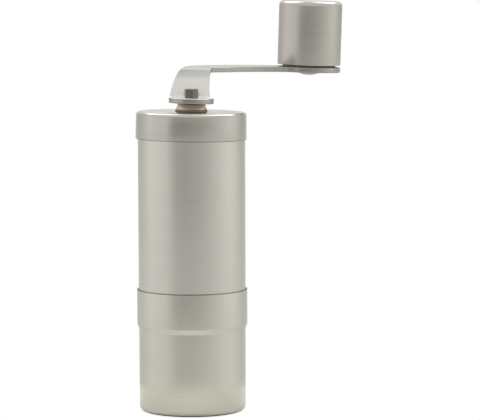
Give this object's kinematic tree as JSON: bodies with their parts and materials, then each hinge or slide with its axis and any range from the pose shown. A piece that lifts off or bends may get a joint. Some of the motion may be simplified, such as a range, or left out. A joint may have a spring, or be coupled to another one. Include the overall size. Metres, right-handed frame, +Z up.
{
  "type": "manual coffee grinder",
  "caption": "Slim steel hand coffee grinder: straight tube on a slide-off catch cup, cap lid with collar, lift-off bent crank with a cylindrical knob, and an adjustable conical burr set inside.",
  "frame": {"origin": "centre of the cup's flat underside, on the shaft's axis", "axes": "+Z up along the shaft; +X is to the right and +Y away from the side on which the hex end shows in front of the riser; the knob lies between +X and +Y"},
  "size_m": [0.0939, 0.0878, 0.1838],
  "materials": {
    "tube_steel": "drawn stainless tube, fine satin brushing round the tube",
    "cup_steel": "deep drawn stainless, fine satin brushing round the cup",
    "lid_steel": "drawn stainless, fine satin brushing, polished edge",
    "crank_steel": "stamped stainless plate, tumbled bright",
    "knob_steel": "drawn stainless can, fine satin brushing round the knob",
    "shaft_steel": "turned stainless bar, machined",
    "inner_steel": "plain stainless, machined or stamped",
    "spring_steel": "hardened spring steel, oiled",
    "collar_bronze": "turned bronze, slightly darkened",
    "black_plastic": "moulded black nylon, matt",
    "white_plastic": "moulded white acetal, satin",
    "ceramic": "sintered ceramic, unglazed"
  },
  "bodies": {
    "cup": {"catch_cup": "cup_steel"},
    "housing": {"body_tube": "tube_steel", "bearing_spider": "inner_steel", "upper_bush": "white_plastic", "burr_carrier": "black_plastic", "lower_bush": "white_plastic", "ring_burr": "ceramic", "burr_retainer": "inner_steel", "retainer_screws": "inner_steel", "spring_washer": "inner_steel"},
    "lid": {"lid": "lid_steel", "lid_collar": "collar_bronze", "collar_nut": "inner_steel"},
    "shaft": {"drive_shaft": "shaft_steel", "shaft_washer": "inner_steel", "shaft_clip": "spring_steel", "burr_spring": "spring_steel"},
    "burr_set": {"cone_burr": "ceramic", "burr_driver": "black_plastic", "detent_plate": "inner_steel"},
    "adjuster": {"adjuster_nut": "black_plastic"},
    "crank": {"crank_arm": "crank_steel", "knob_pin": "inner_steel", "knob_washer": "black_plastic", "knob_clip": "spring_steel"},
    "knob": {"knob_shell": "knob_steel", "knob_core": "black_plastic"}
  },
  "joints": [
    {"name": "lift_off", "type": "slide", "parent": "cup", "child": "housing", "axis": [0, 0, 1], "range_m": [0, 0.046]},
    {"name": "lid_lift", "type": "slide", "parent": "housing", "child": "lid", "axis": [0, 0, 1], "range_m": [0, 0.014]},
    {"name": "crank_turn", "type": "hinge", "parent": "housing", "child": "shaft", "pos_m": [0, 0, 0.105], "axis": [0, 0, 1], "continuous": true},
    {"name": "burr_adjust", "type": "slide", "parent": "shaft", "child": "burr_set", "axis": [0, 0, 1], "range_m": [-0.001, 0.001], "deforming": ["burr_spring"]},
    {"name": "adjuster_turn", "type": "hinge", "parent": "burr_set", "child": "adjuster", "pos_m": [0, 0, 0.0355], "axis": [0, 0, 1], "range_deg": [-360, 360]},
    {"name": "crank_lift", "type": "slide", "parent": "shaft", "child": "crank", "axis": [0, 0, 1], "range_m": [0, 0.03]},
    {"name": "knob_spin", "type": "hinge", "parent": "crank", "child": "knob", "pos_m": [0.05366, 0.04855, 0.15211], "axis": [0.0332, 0, 0.9995], "continuous": true}
  ],
  "couplings": [
    {"joint": "adjuster_turn", "follows": "burr_adjust", "rad_per_m": 6283.2},
    {"joint": "lid_lift", "follows": "crank_lift", "ratio": 0.4666}
  ]
}
